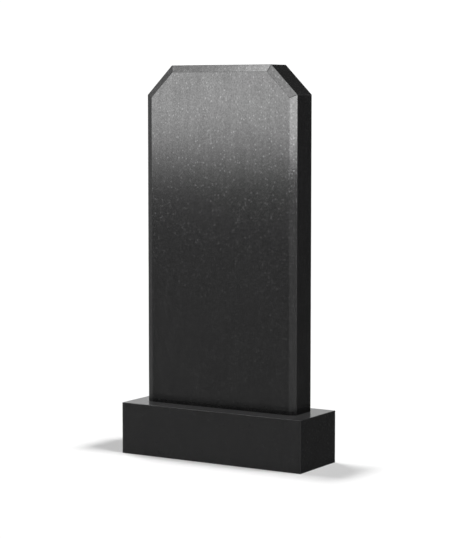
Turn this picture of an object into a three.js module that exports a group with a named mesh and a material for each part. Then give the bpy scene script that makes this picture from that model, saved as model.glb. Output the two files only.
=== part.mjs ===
// Headstone: an upright polished stone slab with both top corners cut off, on a plain block base.
// Millimetres, +Z up. The origin is the centre of the base's underside, and the front faces -Y.

import * as THREE from "three";

// Driving dimensions of the block base
const BASE_WIDTH = 600;
const BASE_DEPTH = 200;
const BASE_HEIGHT = 150;
const BASE_ARRIS = 2;

// Driving dimensions of the slab
const SLAB_WIDTH = 500;
const SLAB_HEIGHT = 980;
const SLAB_THICKNESS = 90;
const CORNER_CUT = 84;
const BEVEL_WIDTH = 20;
const BEVEL_DEPTH = 10;
const SLAB_ARRIS = 1.5;

// Clearance of the thin setting joint between the slab's foot and the base
const SEAT_GAP = 0.3;

// Steps in the small curve that eases an edge
const ARRIS_STEPS = 3;

// Draws straight lines through the points, with a short curve in place of each corner that `eased` marks.
function traceEased(path, points, arris, eased) {
  path.moveTo(...points[0]);
  for (let i = 1; i < points.length; i += 1) {
    const corner = new THREE.Vector2(...points[i]);
    if (!eased(i)) {
      path.lineTo(corner.x, corner.y);
      continue;
    }
    const before = new THREE.Vector2(...points[i - 1]).sub(corner).setLength(arris).add(corner);
    const after = new THREE.Vector2(...points[i + 1]).sub(corner).setLength(arris).add(corner);
    path.lineTo(before.x, before.y);
    path.quadraticCurveTo(corner.x, corner.y, after.x, after.y);
  }
  return path.getPoints(ARRIS_STEPS);
}

// Moves every side of a convex, anticlockwise outline inwards by its own distance. Gives the new corners.
function insetOutline(corners, distances) {
  const sides = corners.map((corner, i) => {
    const start = new THREE.Vector2(...corner);
    const direction = new THREE.Vector2(...corners[(i + 1) % corners.length]).sub(start).normalize();
    const inwards = new THREE.Vector2(-direction.y, direction.x);
    return { start: start.addScaledVector(inwards, distances[i]), direction };
  });
  return sides.map((side, i) => {
    const last = sides[(i + sides.length - 1) % sides.length];
    const offset = side.start.clone().sub(last.start);
    const reach = offset.cross(side.direction) / last.direction.cross(side.direction);
    return last.start.clone().addScaledVector(last.direction, reach).toArray();
  });
}

// Gives a closed outline with all its corners eased, starting in the middle of its first side.
function easedRing(corners, arris) {
  const [first, second] = corners;
  const middle = [(first[0] + second[0]) / 2, (first[1] + second[1]) / 2];
  const loop = [middle, ...corners.slice(1), first, middle];
  const points = traceEased(new THREE.Path(), loop, arris, (i) => i < loop.length - 1);
  return points.slice(0, -1);
}

// Joins outlines with equal numbers of points, each at its own height, into one closed body with flat ends.
function loft(rings) {
  const count = rings[0].points.length;
  const positions = rings.flatMap(({ points, z }) => points.flatMap((point) => [point.x, point.y, z]));
  const indices = [];
  for (let ring = 0; ring < rings.length - 1; ring += 1) {
    for (let i = 0; i < count; i += 1) {
      const a = ring * count + i;
      const b = ring * count + ((i + 1) % count);
      indices.push(a, b, b + count, a, b + count, a + count);
    }
  }
  const start = (rings.length - 1) * count;
  for (const [a, b, c] of THREE.ShapeUtils.triangulateShape(rings[0].points, [])) {
    indices.push(a, c, b);
  }
  for (const [a, b, c] of THREE.ShapeUtils.triangulateShape(rings.at(-1).points, [])) {
    indices.push(start + a, start + b, start + c);
  }
  const geometry = new THREE.BufferGeometry();
  geometry.setAttribute("position", new THREE.Float32BufferAttribute(positions, 3));
  geometry.setIndex(indices);
  geometry.computeVertexNormals();
  return geometry;
}

// An edge profile from one flat end to the other, with its inner corners eased
function easedEdge(edge, arris) {
  return traceEased(new THREE.Path(), edge, arris, (i) => i < edge.length - 1);
}

// Polished black stone
function polishedStone() {
  return new THREE.MeshStandardMaterial({ color: 0x2b2b2c, roughness: 0.2, metalness: 0 });
}

// The block base, a straight-sided block with every edge eased
function makeBase() {
  const x = BASE_WIDTH / 2;
  const y = BASE_DEPTH / 2;
  const plan = [[-x, -y], [x, -y], [x, y], [-x, y]];
  const edge = [[BASE_ARRIS, 0], [0, 0], [0, BASE_HEIGHT], [BASE_ARRIS, BASE_HEIGHT]];
  const profile = easedEdge(edge, BASE_ARRIS);
  const rings = profile.map(({ x: inset, y: z }) => ({
    points: easedRing(insetOutline(plan, plan.map(() => inset)), BASE_ARRIS),
    z,
  }));
  const base = new THREE.Mesh(loft(rings), polishedStone());
  base.name = "base";
  return base;
}

// The slab, drawn lying on its back: its outline in X and Y, its foot on the X axis and its front face up.
// The front bevel runs up both sides, over the cut corners and along the top, and not along the foot.
function makeSlab() {
  const x = SLAB_WIDTH / 2;
  const shoulder = SLAB_HEIGHT - CORNER_CUT;
  const top = SLAB_HEIGHT;
  const outline = [
    [-x, 0],
    [x, 0],
    [x, shoulder],
    [x - CORNER_CUT, top],
    [CORNER_CUT - x, top],
    [-x, shoulder],
  ];
  const edge = [
    [SLAB_ARRIS, 0],
    [0, 0],
    [0, SLAB_THICKNESS - BEVEL_DEPTH],
    [BEVEL_WIDTH, SLAB_THICKNESS],
  ];
  const rings = easedEdge(edge, SLAB_ARRIS).map(({ x: inset, y: z }) => {
    const insets = outline.map((_, side) => (side === 0 ? 0 : inset));
    return { points: easedRing(insetOutline(outline, insets), SLAB_ARRIS), z };
  });
  const slab = new THREE.Mesh(loft(rings), polishedStone());
  slab.name = "slab";
  slab.rotation.x = Math.PI / 2;
  slab.position.set(0, SLAB_THICKNESS / 2, BASE_HEIGHT + SEAT_GAP);
  return slab;
}

const headstone = new THREE.Group();
headstone.name = "headstone";
headstone.add(makeBase(), makeSlab());

export default headstone;
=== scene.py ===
"""Headstone of polished black stone: an upright slab with cut top corners on a plain block base.

Both stones are surfaces on a grid. One parameter runs round an outline and the other along the profile of
its edge, so the small eased edges run on without a break from face to face. Metres, +Z up, the front is -Y.
"""

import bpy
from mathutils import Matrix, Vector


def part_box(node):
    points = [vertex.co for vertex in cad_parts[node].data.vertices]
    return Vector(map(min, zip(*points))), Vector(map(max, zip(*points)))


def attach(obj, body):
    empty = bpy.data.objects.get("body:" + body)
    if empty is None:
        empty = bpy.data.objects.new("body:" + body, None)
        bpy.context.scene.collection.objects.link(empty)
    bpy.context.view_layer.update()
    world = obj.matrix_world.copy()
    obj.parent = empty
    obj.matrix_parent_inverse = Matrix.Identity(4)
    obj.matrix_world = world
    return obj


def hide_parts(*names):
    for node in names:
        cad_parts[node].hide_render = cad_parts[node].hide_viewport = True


bl_info = {
    "name": "Polished black headstone",
    "version": (1, 0, 0),
    "blender": (4, 5, 0),
    "location": "3D View > Sidebar > Headstone",
    "description": "An upright polished slab with cut top corners on a block base, in a plain studio",
    "category": "Add Mesh",
}

import math
from dataclasses import dataclass

import bpy
import numpy as np
from bpy.props import FloatProperty, FloatVectorProperty, IntProperty, PointerProperty
from bpy.types import Operator, Panel, PropertyGroup

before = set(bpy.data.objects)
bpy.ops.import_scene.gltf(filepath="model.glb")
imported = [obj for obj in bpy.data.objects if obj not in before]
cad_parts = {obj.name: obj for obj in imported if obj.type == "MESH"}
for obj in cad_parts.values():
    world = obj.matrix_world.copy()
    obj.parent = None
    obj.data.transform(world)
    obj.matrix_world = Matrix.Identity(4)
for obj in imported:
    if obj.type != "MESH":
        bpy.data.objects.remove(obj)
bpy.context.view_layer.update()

# Rings that close each flat end, as shares of the way out from its middle
CAP_SHARES = (0.8, 0.55, 0.3, 0.1)

# How near to a stone's outermost plane a face's middle lies when the face is part of that plane, in arrises
FLAT_SHARE = 0.1

# How far the top of the base is from polished, where 1 is only ground. This share also makes the top's
# colour greyer, and that is partly painted light from above
SATIN_TOP_AND_PAINTED_LIGHT = 0.42

# Where each stone is cut out of the same pattern of grains
BASE_GRAIN_OFFSET = (0.37, 0.11, 0.23)
SLAB_GRAIN_OFFSET = (0.0, 0.0, 0.0)

# How strongly each stone's foot is painted darker as painted shade, and how strongly its flecks show
BASE_FOOT_SHADE, BASE_SPARKLE = 0.15, 0.15
SLAB_FOOT_SHADE, SLAB_SPARKLE = 1.0, 1.0

SENSOR_WIDTH_MM = 36.0
CAMERA_SIGHT = 200.0


class HeadstoneSizes(PropertyGroup):
    """Sizes of the cuts and eased edges. The stones' overall sizes come from the frame."""

    corner_cut: FloatProperty(
        name="Corner cut",
        description="How far each cut top corner of the slab reaches along the top and down the side",
        default=0.084,
        unit="LENGTH",
    )
    bevel_width: FloatProperty(
        name="Bevel width",
        description="Width of the front bevel, measured across the face",
        default=0.020,
        unit="LENGTH",
    )
    bevel_depth: FloatProperty(
        name="Bevel depth",
        description="How far the front bevel falls back at the slab's edge",
        default=0.010,
        unit="LENGTH",
    )
    bevel_crispness: FloatProperty(
        name="Bevel crispness",
        description="Share of the slab arris that eases the edge between the face and the bevel",
        default=0.4,
        subtype="FACTOR",
    )
    slab_arris: FloatProperty(
        name="Slab arris",
        description="How far the eased edges of the slab reach on each side",
        default=0.0010,
        unit="LENGTH",
    )
    base_arris: FloatProperty(
        name="Base arris",
        description="How far the eased edges of the base reach on each side",
        default=0.0010,
        unit="LENGTH",
    )
    arris_unevenness: FloatProperty(
        name="Arris unevenness",
        description="Share by which a hand-rubbed arris grows and shrinks along its length",
        default=0.22,
        subtype="FACTOR",
    )
    arris_steps: IntProperty(
        name="Arris steps",
        description="Faces across each eased edge",
        default=5,
    )
    wear_width: FloatProperty(
        name="Wear width",
        description="How far the duller rubbed band reaches from an eased edge onto the face",
        default=0.004,
        unit="LENGTH",
    )
    station_spacing: FloatProperty(
        name="Station spacing",
        description="Distance between mesh points along a straight edge",
        default=0.006,
        unit="LENGTH",
    )


class StoneFinish(PropertyGroup):
    """Colours and finish of the black stone."""

    ground_color: FloatVectorProperty(
        name="Ground colour",
        description="The dark ground of the polished stone",
        subtype="COLOR",
        default=(0.0040, 0.0040, 0.0041),
    )
    grain_color: FloatVectorProperty(
        name="Grain colour",
        description="The grey of the fine grains between the dark ones",
        subtype="COLOR",
        default=(0.0085, 0.0085, 0.0087),
    )
    fleck_color: FloatVectorProperty(
        name="Fleck colour",
        description="What the small bright flecks send back, like mica",
        subtype="COLOR",
        default=(0.051, 0.051, 0.0515),
    )
    honed_color: FloatVectorProperty(
        name="Honed colour",
        description="The greyer look of the faces that are ground but not polished",
        subtype="COLOR",
        default=(0.050, 0.050, 0.051),
    )
    wear_color: FloatVectorProperty(
        name="Wear colour",
        description="The grey bloom of an arris where it is rubbed",
        subtype="COLOR",
        default=(0.018, 0.018, 0.0184),
    )
    grain_size: FloatProperty(
        name="Grain size",
        description="Size of the fine grains",
        default=0.0022,
        unit="LENGTH",
    )
    fleck_size: FloatProperty(
        name="Fleck spacing",
        description="Size of the cells that hold at most one bright fleck each",
        default=0.0064,
        unit="LENGTH",
    )
    fleck_stretch: FloatProperty(
        name="Fleck stretch",
        description="How much longer the flecks are upwards than across",
        default=1.25,
    )
    streak_stretch: FloatProperty(
        name="Streak stretch",
        description="How much longer the streaks that the polishing left are upwards than across",
        default=7.0,
    )
    saw_mark_size: FloatProperty(
        name="Saw mark width",
        description="Width of the faint level marks that sawing and grinding left on unpolished faces",
        default=0.005,
        unit="LENGTH",
    )
    saw_mark_stretch: FloatProperty(
        name="Saw mark stretch",
        description="How much longer the saw marks are across than upwards",
        default=24.0,
    )
    streak_size: FloatProperty(
        name="Streak width",
        description="Width of the faint streaks that the polishing left",
        default=0.016,
        unit="LENGTH",
    )
    cloud_size: FloatProperty(
        name="Cloud size",
        description="Size of the faint lighter and darker areas",
        default=0.09,
        unit="LENGTH",
    )
    fleck_roughness: FloatProperty(
        name="Fleck roughness",
        description="Roughness of the bright flecks",
        default=0.17,
        subtype="FACTOR",
    )
    body_roughness: FloatProperty(
        name="Body roughness",
        description="Roughness of the grain below the polish",
        default=0.34,
        subtype="FACTOR",
    )
    body_gloss: FloatProperty(
        name="Body gloss",
        description="Faint haze of the grain below the polish",
        default=0.035,
        subtype="FACTOR",
    )
    polish_ior: FloatProperty(
        name="Polish index",
        description="Refractive index of the polished surface",
        default=1.55,
    )
    polish_roughness: FloatProperty(
        name="Polish roughness",
        description="Roughness of the polish itself",
        default=0.07,
        subtype="FACTOR",
    )
    # Painted shade: the height above a stone's foot over which its colour and polish are painted darker
    foot_shade_height: FloatProperty(
        name="Foot shade height",
        description="How far up from its foot painted shade darkens the stone",
        default=0.036,
        unit="LENGTH",
    )
    honed_roughness: FloatProperty(
        name="Honed roughness",
        description="Roughness of the faces that are ground but not polished",
        default=0.52,
        subtype="FACTOR",
    )


class StudioSettings(PropertyGroup):
    """The camera at the photograph's viewing angle, and the plain studio."""

    camera_place: FloatVectorProperty(
        name="Camera place",
        description="Where the camera stands",
        subtype="TRANSLATION",
        unit="LENGTH",
        default=(2.820, -4.551, 1.036),
    )
    camera_yaw: FloatProperty(
        name="Camera yaw",
        description="How far the view turns left from straight at the front",
        default=math.radians(31.75),
        unit="ROTATION",
    )
    camera_pitch: FloatProperty(
        name="Camera pitch",
        description="How far the view looks down",
        default=math.radians(5.205),
        unit="ROTATION",
    )
    lens: FloatProperty(
        name="Lens",
        description="Focal length in millimetres on a 36 mm sensor",
        default=125.35,
    )
    floor_reach: FloatProperty(
        name="Floor reach",
        description="Distance from the object to each edge of the floor",
        default=30.0,
        unit="LENGTH",
    )
    floor_color: FloatVectorProperty(
        name="Floor colour",
        description="The pale floor",
        subtype="COLOR",
        default=(0.80, 0.80, 0.80),
    )
    backdrop_level: FloatProperty(
        name="Backdrop level",
        description="Brightness of the plain white background",
        default=1.05,
    )
    room_level: FloatProperty(
        name="Room level",
        description="Brightness of the room between the soft lights",
        default=0.06,
    )


@dataclass
class Softbox:
    """A soft light far off in the studio, in degrees. Azimuth 0 is in front of the object and +90 is to its
    right. It is level bright from low to high and half_width to each side, and each edge fades over its own
    angle. A broad one lights everything, and the others only show in the shine of the stone."""

    azimuth: float
    half_width: float
    side_fade: float
    low: float
    low_fade: float
    high: float
    high_fade: float
    level: float
    broad: bool = False


ALL_ROUND = 400
STRAIGHT_UP = 200

SOFTBOXES = {
    "high left": Softbox(-104, 24.5, 5, 37.2, 6, 51, 6, 17.9, broad=True),
    "high right": Softbox(90.4, 19, 5, 36.8, 6, 49.7, 6, 28.6, broad=True),
    "high front": Softbox(-39.2, 7.2, 3, 36, 5, 48, 6, 5.6),
    "high front right": Softbox(7, 8, 4, 31, 5, 43, 5, 5.6),
    "high front left": Softbox(-48, 6, 4, 38, 4, 48, 6, 3.4),
    "front strip": Softbox(-22, 30, 16, -1.58, 2.8, 5.5, 5, 5.65),
    "front strip glow": Softbox(-22, 34, 16, -2.6, 4.5, 8, 6, 0.55),
    "front right strip": Softbox(27, 14, 8, -1.75, 1.4, 5.5, 5, 8.9),
    "right strip": Softbox(92, 24, 16, -2, 3, 12, 10, 2.0),
    "left strip": Softbox(-84, 20, 16, -3, 4, 10, 12, 0.10),
    "left wall": Softbox(-84, 26, 16, 8, 24, 34, 10, 0.66),
    "front wall": Softbox(-20, 95, 30, -200, 1, 30, 20, 0.34),
    "front right wall": Softbox(34, 24, 20, -200, 1, 20, 20, 0.25),
    "left back wall": Softbox(-148, 14, 8, 1, 3, 24, 10, 1.02),
    "overhead": Softbox(0, ALL_ROUND, 1, 62, 12, STRAIGHT_UP, 1, 0.15),
    "ground": Softbox(0, ALL_ROUND, 1, -200, 1, -22, 20, 0.5),
}


def mitre_lines(corners, shares):
    """For each corner of an anticlockwise outline, the vector that the corner moves by when the sides
    beside it move inwards by their shares of one unit, to where the two shifted side lines cross."""
    sides = np.roll(corners, -1, axis=0) - corners
    along = sides / np.linalg.norm(sides, axis=1, keepdims=True)
    inward = np.stack([-along[:, 1], along[:, 0]], axis=1)
    before, share_before = np.roll(inward, 1, axis=0), np.roll(shares, 1)
    cross = before[:, 0] * inward[:, 1] - before[:, 1] * inward[:, 0]
    x = (share_before * inward[:, 1] - shares * before[:, 1]) / cross
    y = (shares * before[:, 0] - share_before * inward[:, 0]) / cross
    return np.stack([x, y], axis=1)


def bend(start, corner, end, t):
    """A short curve that leaves start towards corner and arrives at end, a quadratic in t from 0 to 1."""
    return (1 - t) ** 2 * start + 2 * t * (1 - t) * corner + t**2 * end


@dataclass
class Outline:
    """Stations round an outline. A station slides to point + inset * slide where the edge is inset."""

    point: np.ndarray
    slide: np.ndarray
    on_corner: np.ndarray


def place_stations(corners, shares, arris, steps, spacing):
    """Places stations round an anticlockwise outline: a short curve at each corner, then even steps along
    the side that follows. Along a side the slide blends from one corner's mitre to the next one's, so that
    an inset side stays parallel to itself."""
    corners, shares = np.asarray(corners, float), np.asarray(shares, float)
    mitres = mitre_lines(corners, shares)
    points, slides, on_corner = [], [], []
    for i, corner in enumerate(corners):
        last, following = corners[i - 1], corners[(i + 1) % len(corners)]
        came = (corner - last) / np.linalg.norm(corner - last)
        length = np.linalg.norm(following - corner)
        goes = (following - corner) / length
        t = np.linspace(0, 1, steps + 1)[:, None]
        points.append(bend(corner - arris * came, corner, corner + arris * goes, t))
        slides.append(np.repeat(mitres[i : i + 1], steps + 1, axis=0))
        on_corner.append(np.ones(steps + 1, bool))
        count = max(2, round((length - 2 * arris) / spacing))
        share = np.linspace(arris / length, 1 - arris / length, count + 1)[1:-1, None]
        points.append(corner + share * (following - corner))
        slides.append((1 - share) * mitres[i] + share * mitres[(i + 1) % len(corners)])
        on_corner.append(np.zeros(count - 1, bool))
    joined = [np.concatenate(part) for part in (points, slides, on_corner)]
    return Outline(*joined)


def hand_rubbed(outline, arris, unevenness):
    """The arris at each station: its size times one plus three waves along the outline's length."""
    steps = np.linalg.norm(np.roll(outline.point, -1, axis=0) - outline.point, axis=1)
    turn = 2 * math.pi * np.cumsum(steps) / steps.sum()
    waves = 0.5 * np.sin(7 * turn + 0.6) + 0.3 * np.sin(23 * turn + 2.1) + 0.2 * np.sin(61 * turn + 4.0)
    return arris * (1 + unevenness * waves)


def carry_profile(line, shares, arris, steps, wear_width):
    """Follows a line of (inset, height) points with straight stretches and a short curve in place of each
    inner corner. arris holds each station's curve size, and shares what part of it each inner corner gets.
    A row stands wear_width clear of each curve on both sides. Gives rows by stations of inset and height,
    and each row's share of edge wear and whether it is on a curve."""
    line = np.asarray(line, float)
    ones = np.ones_like(arris)
    rows, wear, curved = [line[0][:, None] * ones], [0.0], [False]
    for last, corner, following, share in zip(line[:-2], line[1:-1], line[2:], shares):
        back = (last - corner) / np.linalg.norm(last - corner)
        onward = (following - corner) / np.linalg.norm(following - corner)
        start = corner[:, None] + share * back[:, None] * arris
        end = corner[:, None] + share * onward[:, None] * arris
        rows.append(start + back[:, None] * wear_width)
        wear.append(0.0)
        curved.append(False)
        for t in np.linspace(0, 1, steps + 1):
            rows.append(bend(start, corner[:, None] * ones, end, t))
            wear.append(share)
            curved.append(t < 1)
        rows.append(end + onward[:, None] * wear_width)
        wear.append(0.0)
        curved.append(False)
    rows.append(line[-1][:, None] * ones)
    wear.append(0.0)
    curved.append(False)
    stacked = np.stack(rows)
    return stacked[:, 0], stacked[:, 1], np.array(wear), np.array(curved)


def shrink_rings(ring, shares):
    """Copies of a flat ring drawn in towards its middle, one for each share of its size."""
    middle = ring.mean(axis=0)
    return middle + np.asarray(shares)[:, None, None] * (ring - middle)


def solid_from_rings(name, outline, inset, height, wear, curved, honed, place):
    """Makes one closed mesh. Row r of the grid is the outline slid inwards by inset[r] at height[r]. Both
    ends are closed flat by rings drawn in to a middle point. place turns the (x, y, height) grid into the
    stone's real place. wear goes into the mesh for each point, and honed, a test of a face's middle, for
    each face."""
    count = len(outline.point)
    flat = outline.point + inset[..., None] * outline.slide
    grid = np.concatenate([flat, height[..., None]], axis=2)
    inner = np.asarray(CAP_SHARES)
    grid = np.concatenate([shrink_rings(grid[0], inner[::-1]), grid, shrink_rings(grid[-1], inner)])
    poles = np.stack([grid[0].mean(axis=0), grid[-1].mean(axis=0)])
    points = place(np.concatenate([grid.reshape(-1, 3), poles]))

    rows = len(grid)
    here = np.arange(count)
    beside = np.roll(here, -1)
    start = (np.arange(rows - 1) * count)[:, None]
    quads = np.stack([start + here, start + beside, start + beside + count, start + here + count], axis=2)
    first_pole, last_pole = rows * count, rows * count + 1
    top = (rows - 1) * count
    first_fan = np.stack([beside, here, np.full(count, first_pole)], axis=1)
    last_fan = np.stack([top + here, top + beside, np.full(count, last_pole)], axis=1)
    faces = quads.reshape(-1, 4).tolist() + first_fan.tolist() + last_fan.tolist()

    mesh = bpy.data.meshes.new(name)
    mesh.from_pydata(points, [], faces)
    padding = np.zeros(len(inner))
    row_wear = np.concatenate([padding, wear, padding])[:, None]
    walls = np.zeros((rows, 1), bool)
    walls[len(inner) + 2 : rows - len(inner) - 2] = True
    point_wear = np.where(walls & outline.on_corner, 1.0, row_wear)
    store(mesh, "wear", "POINT", np.append(point_wear.ravel(), [0.0, 0.0]))
    quad_middles = points[quads.reshape(-1, 4)].mean(axis=1)
    fan_middles = points[np.concatenate([first_fan, last_fan])].mean(axis=1)
    store(mesh, "honed", "FACE", honed(np.concatenate([quad_middles, fan_middles])))

    row_curved = np.concatenate([padding > 0, curved, padding > 0])[:-1]
    bends = outline.on_corner & np.roll(outline.on_corner, -1)
    body_rows = np.zeros(rows - 1, bool)
    body_rows[len(inner) : rows - 1 - len(inner)] = True
    smooth = row_curved[:, None] | (bends[None, :] & body_rows[:, None])
    fans = np.zeros(2 * count, bool)
    mesh.polygons.foreach_set("use_smooth", np.concatenate([smooth.ravel(), fans]))
    mesh.update()
    return mesh


def store(mesh, name, domain, values):
    """Puts one number for each point or face into the mesh, for its material to read."""
    attribute = mesh.attributes.new(name, "FLOAT", domain)
    attribute.data.foreach_set("value", np.asarray(values, np.float32))


class Signal:
    """An output socket. Arithmetic on it adds the Math node that works it out."""

    def __init__(self, shader, socket):
        self.shader = shader
        self.socket = socket

    def __add__(self, other):
        return self.shader.math("ADD", self, other)

    def __radd__(self, other):
        return self.shader.math("ADD", other, self)

    def __sub__(self, other):
        return self.shader.math("SUBTRACT", self, other)

    def __rsub__(self, other):
        return self.shader.math("SUBTRACT", other, self)

    def __mul__(self, other):
        return self.shader.math("MULTIPLY", self, other)

    def __rmul__(self, other):
        return self.shader.math("MULTIPLY", other, self)

    def __pow__(self, other):
        return self.shader.math("POWER", self, other)

    def __abs__(self):
        return self.shader.math("ABSOLUTE", self)


class Shader:
    """Builds a node tree. node() takes a node's type, its settings, which are set first, and its inputs."""

    def __init__(self, tree):
        self.tree = tree
        tree.nodes.clear()

    def node(self, kind, settings=None, inputs=None, output=0):
        made = self.tree.nodes.new(kind)
        for key, value in (settings or {}).items():
            setattr(made, key, value)
        for key, value in (inputs or {}).items():
            if isinstance(value, Signal):
                self.tree.links.new(value.socket, made.inputs[key])
            else:
                made.inputs[key].default_value = value
        return Signal(self, made.outputs[output]) if made.outputs else made

    def math(self, operation, *terms):
        return self.node("ShaderNodeMath", {"operation": operation}, dict(enumerate(terms)))

    def ramp(self, value, low, high):
        """0 below low and 1 above high, with a smooth rise between. low may be the larger of the two."""
        settings = {"interpolation_type": "SMOOTHSTEP"}
        inputs = {"Value": value, "From Min": low, "From Max": high}
        return self.node("ShaderNodeMapRange", settings, inputs)

    def attribute(self, name):
        return self.node("ShaderNodeAttribute", {"attribute_name": name}, output="Fac")

    def blend(self, factor, first, second):
        """Mixes two colours."""
        settings = {"data_type": "RGBA"}
        sockets = {"Factor": factor, 6: first, 7: second}
        return self.node("ShaderNodeMix", settings, sockets, output=2)


def opaque(color):
    """A colour with full alpha, as a colour socket takes it."""
    return (*color, 1.0)


def stone_material(name, finish, offset, foot, foot_shade_strength, sparkle):
    """Black stone. Fine dark and grey grains, with small flecks that glint strewn through them, lie under a
    polish. The polish shines more on some grains than on others, in faint upright streaks. It is thin where
    the arrises are rubbed and gone on honed faces. Close above the height of the stone's foot, painted
    shade makes it dull and dark by the given share. sparkle is the share of their strength that the flecks
    have in this stone."""
    material = bpy.data.materials.new(name)
    material.use_nodes = True
    shader = Shader(material.node_tree)
    here = shader.node("ShaderNodeTexCoord", output="Object")
    place = shader.node("ShaderNodeMapping", {}, {"Vector": here, "Location": offset})

    def stretched(across, upwards):
        """The stone's own coordinates, for a pattern drawn out across the stone or upwards."""
        inputs = {"Vector": place, "Scale": (1 / across, 1.0, 1 / upwards)}
        return shader.node("ShaderNodeMapping", {}, inputs)

    drawn = stretched(1.0, finish.fleck_stretch)
    swept = stretched(1.0, finish.streak_stretch)
    sawn = stretched(finish.saw_mark_stretch, 1.0)

    def noise(size, detail=2.0, roughness=0.5, vector=place):
        inputs = {"Vector": vector, "Scale": 1 / size, "Detail": detail, "Roughness": roughness}
        return shader.node("ShaderNodeTexNoise", {}, inputs)

    def flecks(size, share, reach, shake):
        """Irregular spots in a share of the cells, each reaching out by reach times its cell's size and
        each with its own strength. shake is how far the cells' edges wander."""
        inputs = {"Vector": drawn, "Scale": 1.6 / size, "Detail": 1.0}
        wander = shader.node("ShaderNodeTexNoise", {}, inputs, output="Color")
        inputs = {0: wander, "Scale": shake * size}
        wander = shader.node("ShaderNodeVectorMath", {"operation": "SCALE"}, inputs)
        vector = shader.node("ShaderNodeVectorMath", {"operation": "ADD"}, {0: drawn, 1: wander})
        inputs = {"Vector": vector, "Scale": 1 / size}
        distance = shader.node("ShaderNodeTexVoronoi", {}, inputs, output="Distance")
        chances = shader.node("ShaderNodeTexVoronoi", {}, inputs, output="Color")
        chance = shader.node("ShaderNodeSeparateColor", {}, {0: chances}, output=0)
        strength = shader.node("ShaderNodeSeparateColor", {}, {0: chances}, output=1)
        spot = shader.ramp(distance, reach, reach * 0.6) * shader.ramp(chance, 1 - share, 1 - 0.9 * share)
        return spot * (0.15 + 0.85 * strength)

    grain = noise(finish.grain_size, detail=3.0, roughness=0.65)
    cloud = noise(finish.cloud_size, detail=3.0)
    pale = flecks(finish.fleck_size, share=0.40, reach=0.42, shake=0.15)
    fine = flecks(0.66 * finish.fleck_size, share=0.5, reach=0.46, shake=0.15)
    specks = sparkle * shader.math("MINIMUM", pale + 0.5 * fine, 1.0)
    lustre = noise(0.0042, detail=2.0, roughness=0.7, vector=drawn)
    streak = noise(finish.streak_size, detail=3.0, roughness=0.6, vector=swept)
    mark = shader.ramp(noise(finish.saw_mark_size, detail=4.0, roughness=0.7, vector=sawn), 0.3, 0.7)

    above = shader.node("ShaderNodeSeparateXYZ", {}, {0: here}, output="Z")
    # Painted shade close above the foot, where the stone meets what it stands on
    painted_foot_shade = foot_shade_strength * shader.ramp(above, foot + finish.foot_shade_height, foot)
    wear = shader.attribute("wear")
    honed = shader.attribute("honed")
    rub = shader.ramp(wear, 0.55, 1.0) * (0.5 + 0.5 * shader.ramp(noise(0.012, detail=4.0), 0.35, 0.65))

    tone = shader.ramp(grain + 0.25 * (cloud - 0.5), 0.35, 0.68)
    color = shader.blend(tone, opaque(finish.ground_color), opaque(finish.grain_color))
    color = shader.blend(specks, color, opaque(finish.fleck_color))
    # On the base's top the honed share is partly satin finish and partly painted light from above, so that
    # top's bloom is partly painted light
    bloom = honed**0.5 * (0.45 + 0.25 * tone + 0.3 * mark + 0.5 * (cloud - 0.5))
    color = shader.blend(bloom, color, opaque(finish.honed_color))
    color = shader.blend(rub, color, opaque(finish.wear_color))
    # Painted shade: the colour goes towards black close above the foot
    color = shader.blend(0.6 * painted_foot_shade, color, opaque((0, 0, 0)))

    body = finish.body_roughness + 0.14 * (tone - 0.5)
    glint = shader.ramp(specks, 0.02, 0.12) * (1 - honed) * sparkle**0.5
    body = body + (finish.fleck_roughness - body) * glint
    roughness = body + (finish.honed_roughness - body) * honed
    shine = 0.66 + 0.28 * shader.ramp(lustre, 0.32, 0.68) + 0.12 * shader.ramp(streak, 0.3, 0.7)
    # Painted shade also takes polish off close above the foot, so that it reflects less there
    polish = (1 - honed) * shine * (1 - 0.2 * rub) * (1 - 0.65 * painted_foot_shade)

    inputs = {"Strength": 0.25, "Distance": 0.0003, "Height": grain * (0.25 + honed) + mark * honed}
    relief = shader.node("ShaderNodeBump", {}, inputs)
    inputs = {
        "Base Color": color,
        "Roughness": roughness,
        "Metallic": 0.7 * glint,
        "Normal": relief,
        "Specular IOR Level": finish.body_gloss,
        "Coat Weight": polish,
        "Coat Roughness": finish.polish_roughness,
        "Coat IOR": finish.polish_ior,
    }
    surface = shader.node("ShaderNodeBsdfPrincipled", {}, inputs)
    shader.node("ShaderNodeOutputMaterial", {}, {"Surface": surface})
    return material


def add_piece(context, mesh, material, node):
    """Puts a finished mesh into the scene in place of its solid, riding with it."""
    mesh.materials.append(material)
    piece = bpy.data.objects.new(mesh.name, mesh)
    context.scene.collection.objects.link(piece)
    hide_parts(node)
    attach(piece, "root")
    return piece


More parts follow.
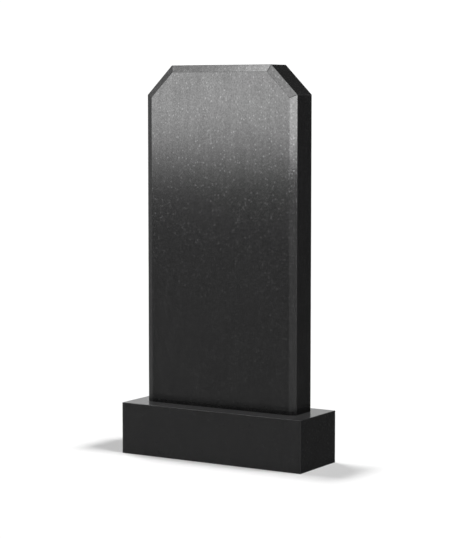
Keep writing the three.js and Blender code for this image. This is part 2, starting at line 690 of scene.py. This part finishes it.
class HEADSTONE_OT_base(Operator):
    """Build the plain block base"""

    bl_idname = "headstone.base"
    bl_label = "Block base"

    def execute(self, context):
        sizes, finish = context.scene.headstone_sizes, context.scene.headstone_finish
        low, high = (np.array(corner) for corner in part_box("base"))
        plan = [(low[0], low[1]), (high[0], low[1]), (high[0], high[1]), (low[0], high[1])]
        shares = np.ones(len(plan))
        outline = place_stations(
            plan, shares, sizes.base_arris, sizes.arris_steps, sizes.station_spacing
        )
        arris = hand_rubbed(outline, sizes.base_arris, sizes.arris_unevenness)
        flat_edge = sizes.base_arris * 2 + sizes.wear_width
        line = [(flat_edge, low[2]), (0, low[2]), (0, high[2]), (flat_edge, high[2])]
        inset, height, wear, curved = carry_profile(
            line, (1, 1), arris, sizes.arris_steps, sizes.wear_width
        )

        def honed(points):
            """The back and the underside are ground but not polished. The top is polished less, and its
            greyer colour is partly painted light from above.
            """
            near = sizes.base_arris * FLAT_SHARE
            unpolished = (points[:, 1] > high[1] - near) | (points[:, 2] < low[2] + near)
            return np.where(unpolished, 1.0, np.where(points[:, 2] > high[2] - near, SATIN_TOP_AND_PAINTED_LIGHT, 0.0))

        def in_place(points):
            """The grid stands as the block does."""
            return points

        mesh = solid_from_rings("base_block", outline, inset, height, wear, curved, honed, in_place)
        material = stone_material(
            "base stone", finish, BASE_GRAIN_OFFSET, low[2], BASE_FOOT_SHADE, BASE_SPARKLE
        )
        add_piece(context, mesh, material, "base")
        return {"FINISHED"}


class HEADSTONE_OT_slab(Operator):
    """Build the upright slab with cut top corners and a front bevel"""

    bl_idname = "headstone.slab"
    bl_label = "Upright slab"

    def execute(self, context):
        sizes, finish = context.scene.headstone_sizes, context.scene.headstone_finish
        low, high = (np.array(corner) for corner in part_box("slab"))
        shoulder, cut = high[2] - sizes.corner_cut, sizes.corner_cut
        elevation = [
            (low[0], low[2]),
            (high[0], low[2]),
            (high[0], shoulder),
            (high[0] - cut, high[2]),
            (low[0] + cut, high[2]),
            (low[0], shoulder),
        ]
        shares = np.array([0, 1, 1, 1, 1, 1])
        outline = place_stations(
            elevation, shares, sizes.slab_arris, sizes.arris_steps, sizes.station_spacing
        )
        arris = hand_rubbed(outline, sizes.slab_arris, sizes.arris_unevenness)
        thickness = high[1] - low[1]
        flat_edge = sizes.slab_arris * 2 + sizes.wear_width
        line = [
            (flat_edge, 0),
            (0, 0),
            (0, thickness - sizes.bevel_depth),
            (sizes.bevel_width, thickness),
            (sizes.bevel_width + flat_edge, thickness),
        ]
        inset, height, wear, curved = carry_profile(
            line, (1, 1, sizes.bevel_crispness), arris, sizes.arris_steps, sizes.wear_width
        )

        def stand_up(points):
            """The grid lies on its back: its second axis goes up and its height goes to the front."""
            return np.stack([points[:, 0], high[1] - points[:, 2], points[:, 1]], axis=1)

        def honed(points):
            """The back and the foot are ground but not polished."""
            near = sizes.slab_arris * FLAT_SHARE
            return (points[:, 1] > high[1] - near) | (points[:, 2] < low[2] + near)

        mesh = solid_from_rings("slab_stone", outline, inset, height, wear, curved, honed, stand_up)
        material = stone_material(
            "slab stone", finish, SLAB_GRAIN_OFFSET, low[2], SLAB_FOOT_SHADE, SLAB_SPARKLE
        )
        slab = add_piece(context, mesh, material, "slab")

        # Only the base shades the studio's floor
        slab.visible_shadow = False
        slab.visible_diffuse = False
        return {"FINISHED"}


def light_studio(world, studio):
    """White to the camera. Other rays see the room's level plus the soft lights that reach them. Each light
    is a smooth rise and fall in azimuth times a smooth rise and fall in elevation."""
    world.use_nodes = True
    shader = Shader(world.node_tree)
    direction = shader.node("ShaderNodeTexCoord", output="Generated")
    x, y, z = (shader.node("ShaderNodeSeparateXYZ", {}, {0: direction}, output=axis) for axis in range(3))
    azimuth = shader.math("ARCTAN2", x, 0 - y) * math.degrees(1)
    elevation = shader.math("ARCSINE", z) * math.degrees(1)
    level = studio.room_level
    shiny = shader.node("ShaderNodeLightPath", output="Is Glossy Ray")
    for box in SOFTBOXES.values():
        off = abs(azimuth - box.azimuth)
        off = shader.math("MINIMUM", off, 360 - off)
        across = shader.ramp(off, box.half_width + box.side_fade / 2, box.half_width - box.side_fade / 2)
        up = shader.ramp(elevation, box.low - box.low_fade / 2, box.low + box.low_fade / 2)
        down = shader.ramp(elevation, box.high + box.high_fade / 2, box.high - box.high_fade / 2)
        reach = 1.0 if box.broad else shiny
        level = level + across * up * down * box.level * reach
    to_camera = shader.node("ShaderNodeLightPath", output="Is Camera Ray")
    level = level + (studio.backdrop_level - level) * to_camera
    background = shader.node("ShaderNodeBackground", {}, {"Color": opaque((1, 1, 1)), "Strength": level})
    shader.node("ShaderNodeOutputWorld", {}, {"Surface": background})


def add_floor(context, studio):
    """A plain pale floor, square and flat, under the object. Shiny stone doesn't mirror it."""
    reach = studio.floor_reach
    mesh = bpy.data.meshes.new("floor")
    corners = [(-reach, -reach, 0), (reach, -reach, 0), (reach, reach, 0), (-reach, reach, 0)]
    mesh.from_pydata(corners, [], [(0, 1, 2, 3)])
    material = bpy.data.materials.new("pale floor")
    material.use_nodes = True
    shader = Shader(material.node_tree)
    surface = shader.node("ShaderNodeBsdfDiffuse", {}, {"Color": opaque(studio.floor_color)})
    shader.node("ShaderNodeOutputMaterial", {}, {"Surface": surface})
    mesh.materials.append(material)
    floor = bpy.data.objects.new("floor", mesh)
    context.scene.collection.objects.link(floor)
    floor.visible_glossy = False


def add_camera(context, studio):
    """The camera at the photograph's viewing angle, level from side to side."""
    data = bpy.data.cameras.new("camera")
    data.lens = studio.lens
    data.sensor_width = SENSOR_WIDTH_MM
    data.clip_end = CAMERA_SIGHT
    camera = bpy.data.objects.new("camera", data)
    context.scene.collection.objects.link(camera)
    camera.location = studio.camera_place
    camera.rotation_euler = (math.pi / 2 - studio.camera_pitch, 0.0, studio.camera_yaw)
    context.scene.camera = camera


class HEADSTONE_OT_stage(Operator):
    """Set up the floor, the soft studio light and the camera"""

    bl_idname = "headstone.stage"
    bl_label = "Studio"

    def execute(self, context):
        studio = context.scene.headstone_studio
        world = bpy.data.worlds.new("studio")
        context.scene.world = world
        light_studio(world, studio)
        add_floor(context, studio)
        add_camera(context, studio)
        context.scene.view_settings.view_transform = "Standard"
        return {"FINISHED"}


class VIEW3D_PT_headstone(Panel):
    """Builds the headstone and its studio"""

    bl_label = "Headstone"
    bl_space_type = "VIEW_3D"
    bl_region_type = "UI"
    bl_category = "Headstone"

    def draw(self, context):
        scene = context.scene
        groups = (scene.headstone_sizes, scene.headstone_finish, scene.headstone_studio)
        for group in groups:
            box = self.layout.box()
            for name in group.__annotations__:
                box.prop(group, name)
        for operator in (HEADSTONE_OT_stage, HEADSTONE_OT_base, HEADSTONE_OT_slab):
            self.layout.operator(operator.bl_idname)


CLASSES = (
    HeadstoneSizes,
    StoneFinish,
    StudioSettings,
    HEADSTONE_OT_stage,
    HEADSTONE_OT_base,
    HEADSTONE_OT_slab,
    VIEW3D_PT_headstone,
)


def register():
    for cls in CLASSES:
        bpy.utils.register_class(cls)
    bpy.types.Scene.headstone_sizes = PointerProperty(type=HeadstoneSizes)
    bpy.types.Scene.headstone_finish = PointerProperty(type=StoneFinish)
    bpy.types.Scene.headstone_studio = PointerProperty(type=StudioSettings)


def unregister():
    del bpy.types.Scene.headstone_studio
    del bpy.types.Scene.headstone_finish
    del bpy.types.Scene.headstone_sizes
    for cls in reversed(CLASSES):
        bpy.utils.unregister_class(cls)


def main():
    register()
    bpy.ops.headstone.stage()
    bpy.ops.headstone.base()
    bpy.ops.headstone.slab()


if __name__ == "__main__":
    main()
